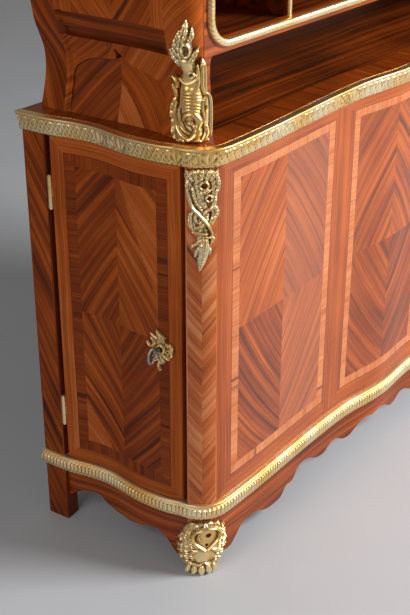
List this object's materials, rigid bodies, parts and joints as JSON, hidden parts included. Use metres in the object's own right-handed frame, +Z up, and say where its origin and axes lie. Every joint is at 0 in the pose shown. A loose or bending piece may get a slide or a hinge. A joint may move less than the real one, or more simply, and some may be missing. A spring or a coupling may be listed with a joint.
{
  "type": "desk filing cabinet",
  "caption": "Serpentine veneered filing cabinet with a door in each end and gilt mounts, under an open pigeonhole case standing on shaped ends.",
  "frame": {"origin": "on the floor under the middle of the whole cabinet", "axes": "+Z up, the curved front faces -Y, the end with the key is at -X"},
  "size_m": [1.202, 0.358, 1.277],
  "materials": {
    "veneer": "striped rosewood veneer, waxed gloss",
    "dark_veneer": "dark rosewood veneer, waxed",
    "oak": "plain oak, unpolished",
    "gilt": "chased and gilt cast brass",
    "steel": "worn iron and steel"
  },
  "bodies": {
    "cabinet": {"base_top_board": "veneer", "base_bottom_board": "oak", "base_back_panel": "oak", "corner_post_left": "veneer", "corner_post_right": "veneer", "rear_stile_left": "dark_veneer", "rear_stile_right": "dark_veneer", "front_panel_left": "veneer", "front_panel_right": "veneer", "front_panel_centre": "veneer", "front_apron": "dark_veneer", "side_apron_left": "dark_veneer", "side_apron_right": "dark_veneer", "partition": "oak", "shelf_left": "oak", "shelf_right": "oak", "top_edge_moulding": "gilt", "band_moulding": "gilt", "strike_plate_left": "gilt", "strike_plate_right": "gilt", "hinge_upper_frame_leaf_left": "gilt", "hinge_upper_frame_leaf_right": "gilt", "hinge_upper_pin_left": "gilt", "hinge_upper_pin_right": "gilt", "hinge_lower_frame_leaf_left": "gilt", "hinge_lower_frame_leaf_right": "gilt", "hinge_lower_pin_left": "gilt", "hinge_lower_pin_right": "gilt", "corner_chute_left": "gilt", "corner_chute_right": "gilt", "sabot_left": "gilt", "sabot_right": "gilt", "upper_end_wall_left": "veneer", "upper_end_wall_right": "veneer", "upper_recessed_panel_left": "veneer", "upper_recessed_panel_right": "veneer", "upper_floor": "dark_veneer", "upper_back_panel": "oak", "upper_top_board": "veneer", "face_frame": "veneer", "opening_moulding": "gilt", "divider_1": "dark_veneer", "divider_2": "dark_veneer", "divider_3": "dark_veneer", "divider_4": "dark_veneer", "upper_chute_left": "gilt", "upper_chute_right": "gilt"},
    "left_door": {"door_left": "veneer", "escutcheon_left": "gilt", "lock_left": "steel", "hinge_upper_door_leaf_left": "gilt", "hinge_lower_door_leaf_left": "gilt"},
    "left_key": {"key_left": "steel"},
    "left_bolt": {"lock_bolt_left": "steel"},
    "right_door": {"door_right": "veneer", "escutcheon_right": "gilt", "lock_right": "steel", "hinge_upper_door_leaf_right": "gilt", "hinge_lower_door_leaf_right": "gilt"},
    "right_bolt": {"lock_bolt_right": "steel"}
  },
  "joints": [
    {"name": "left_door_hinge", "type": "hinge", "parent": "cabinet", "child": "left_door", "pos_m": [-0.57909, 0.13, 0.448], "axis": [0, 0, -1], "range_deg": [0, 120]},
    {"name": "right_door_hinge", "type": "hinge", "parent": "cabinet", "child": "right_door", "pos_m": [0.57909, 0.13, 0.448], "axis": [0, 0, 1], "range_deg": [0, 120]},
    {"name": "left_key_turn", "type": "hinge", "parent": "left_door", "child": "left_key", "pos_m": [-0.55516, -0.08197, 0.433], "axis": [-0.9782, -0.2075, 0], "range_deg": [0, 180]},
    {"name": "left_bolt_slide", "type": "slide", "parent": "left_door", "child": "left_bolt", "axis": [0.1422, -0.9898, 0], "range_m": [0, 0.016]},
    {"name": "right_bolt_slide", "type": "slide", "parent": "right_door", "child": "right_bolt", "axis": [-0.1422, -0.9898, 0], "range_m": [0, 0.016]}
  ],
  "couplings": [
    {"joint": "left_bolt_slide", "follows": "left_key_turn", "m_per_rad": 0.0046}
  ]
}
